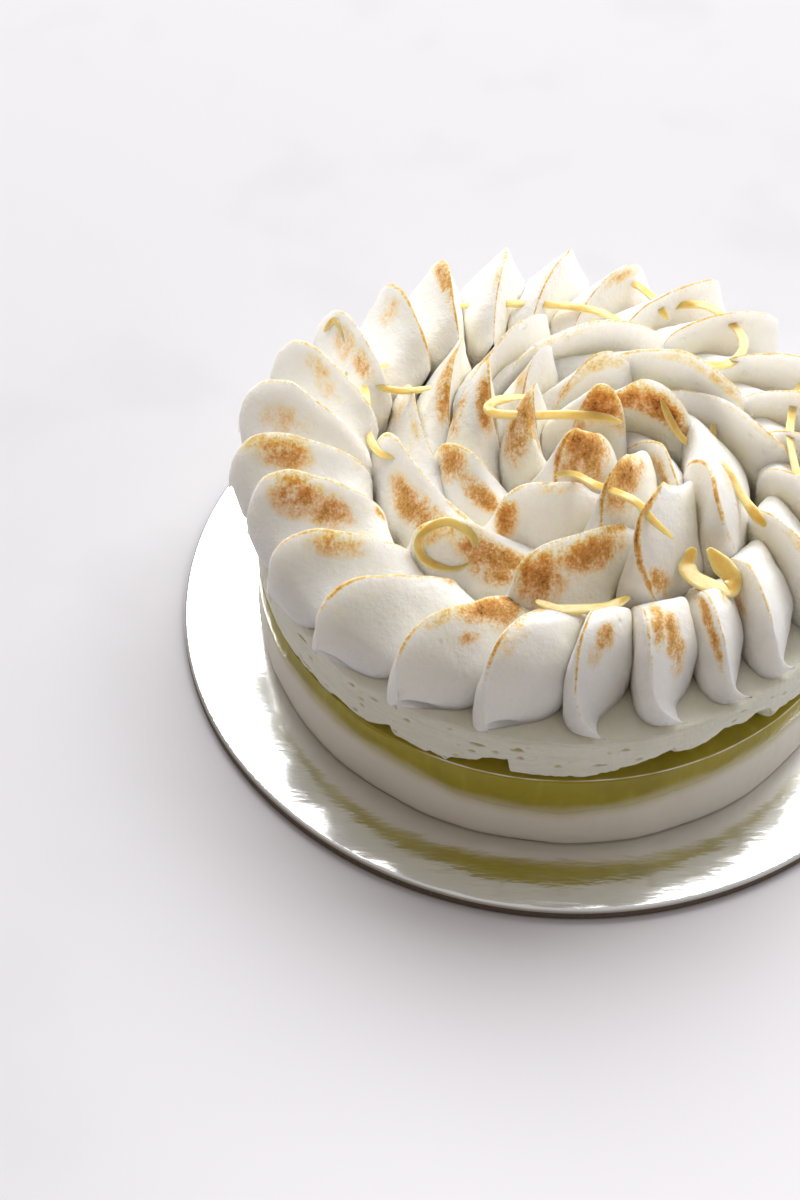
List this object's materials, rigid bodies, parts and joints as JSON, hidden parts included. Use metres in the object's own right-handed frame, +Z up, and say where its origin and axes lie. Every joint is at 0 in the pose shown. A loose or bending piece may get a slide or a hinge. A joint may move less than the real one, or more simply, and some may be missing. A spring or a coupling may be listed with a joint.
{
  "type": "layered lemon cream cake with torched meringue petals on a card",
  "caption": "Round layered cake of cream, lemon jelly and mousse, topped with swirling rings of torched meringue petals and candied zest, on a silver card.",
  "frame": {"origin": "middle of the underside of the round card, on the table", "axes": "+Z up through the cake; +X to the right and +Y away when the side with the deepest jelly faces the viewer"},
  "size_m": [0.2032, 0.2032, 0.0827],
  "materials": {
    "foil_card": "metallised silver film on grey card, soft mirror, dark cut edge",
    "cream": "smooth white cream, dense, slightly moist",
    "jelly": "translucent yellow-green lemon jelly, streaked at the cut side",
    "mousse": "matt off-white mousse with small pores and drag marks",
    "meringue": "satin white meringue, torched golden brown in patches and along the ridges",
    "zest": "translucent candied lemon peel, sticky gloss"
  },
  "bodies": {
    "root": {"cake_card": "foil_card", "bottom_cream": "cream", "lemon_jelly": "jelly", "top_mousse": "mousse", "meringue_outer_01": "meringue", "meringue_outer_02": "meringue", "meringue_outer_03": "meringue", "meringue_outer_04": "meringue", "meringue_outer_05": "meringue", "meringue_outer_06": "meringue", "meringue_outer_07": "meringue", "meringue_outer_08": "meringue", "meringue_outer_09": "meringue", "meringue_outer_10": "meringue", "meringue_outer_11": "meringue", "meringue_outer_12": "meringue", "meringue_outer_13": "meringue", "meringue_outer_14": "meringue", "meringue_outer_15": "meringue", "meringue_outer_16": "meringue", "meringue_outer_17": "meringue", "meringue_outer_18": "meringue", "meringue_outer_19": "meringue", "meringue_outer_20": "meringue", "meringue_outer_21": "meringue", "meringue_outer_22": "meringue", "meringue_outer_23": "meringue", "meringue_outer_24": "meringue", "meringue_outer_25": "meringue", "meringue_second_01": "meringue", "meringue_second_02": "meringue", "meringue_second_03": "meringue", "meringue_second_04": "meringue", "meringue_second_05": "meringue", "meringue_second_06": "meringue", "meringue_second_07": "meringue", "meringue_second_08": "meringue", "meringue_second_09": "meringue", "meringue_second_10": "meringue", "meringue_second_11": "meringue", "meringue_third_01": "meringue", "meringue_third_02": "meringue", "meringue_third_03": "meringue", "meringue_third_04": "meringue", "meringue_third_05": "meringue", "meringue_third_06": "meringue", "meringue_third_07": "meringue", "meringue_third_08": "meringue", "meringue_heart_01": "meringue", "meringue_heart_02": "meringue", "meringue_heart_03": "meringue", "zest_ring": "zest", "zest_long": "zest", "zest_slim": "zest", "zest_front": "zest", "zest_fold": "zest", "zest_side": "zest", "zest_right": "zest", "zest_back": "zest", "zest_loop": "zest"}
  },
  "joints": []
}
